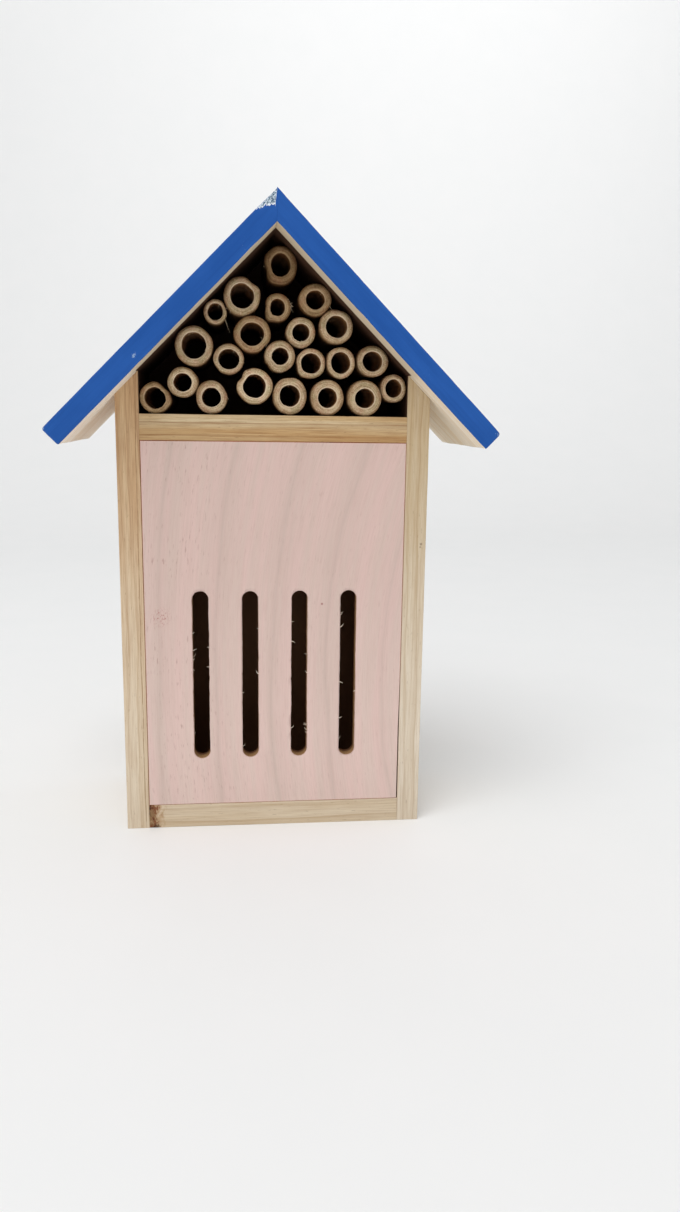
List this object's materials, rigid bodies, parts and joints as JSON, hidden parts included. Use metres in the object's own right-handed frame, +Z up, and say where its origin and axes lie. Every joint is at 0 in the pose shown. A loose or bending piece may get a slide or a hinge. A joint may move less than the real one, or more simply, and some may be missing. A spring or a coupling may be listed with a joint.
{
  "type": "insect hotel",
  "caption": "Small nailed pine house with a pitched roof, a slotted butterfly chamber and a gable packed with bamboo nesting tubes.",
  "frame": {"origin": "middle of the walls' footprint, on the surface the house stands on", "axes": "+X to the right as one looks at the front, -Y out of the front with the slots and tubes, +Z up"},
  "size_m": [0.1718, 0.0798, 0.25],
  "materials": {
    "pine": "bare planed softwood",
    "stained_pine": "thin matt pink stain",
    "painted_pine": "satin blue paint outside, bare wood underneath",
    "bamboo": "dry sawn bamboo, tumbled ends",
    "nail_steel": "bright wire nail",
    "zinc_steel": "zinc plated"
  },
  "bodies": {
    "root": {"side_wall_left": "pine", "side_wall_right": "pine", "base_board": "pine", "shelf_board": "pine", "back_board": "pine", "front_panel": "stained_pine", "roof_board_left": "painted_pine", "roof_board_right": "painted_pine", "tube_01": "bamboo", "tube_02": "bamboo", "tube_03": "bamboo", "tube_04": "bamboo", "tube_05": "bamboo", "tube_06": "bamboo", "tube_07": "bamboo", "tube_08": "bamboo", "tube_09": "bamboo", "tube_10": "bamboo", "tube_11": "bamboo", "tube_12": "bamboo", "tube_13": "bamboo", "tube_14": "bamboo", "tube_15": "bamboo", "tube_16": "bamboo", "tube_17": "bamboo", "tube_18": "bamboo", "tube_19": "bamboo", "tube_20": "bamboo", "tube_21": "bamboo", "tube_22": "bamboo", "side_nails_left": "nail_steel", "side_nails_right": "nail_steel", "roof_nails_left": "nail_steel", "roof_nails_right": "nail_steel", "back_nails": "nail_steel", "hanger_plate": "zinc_steel", "hanger_screws": "zinc_steel"}
  },
  "joints": []
}
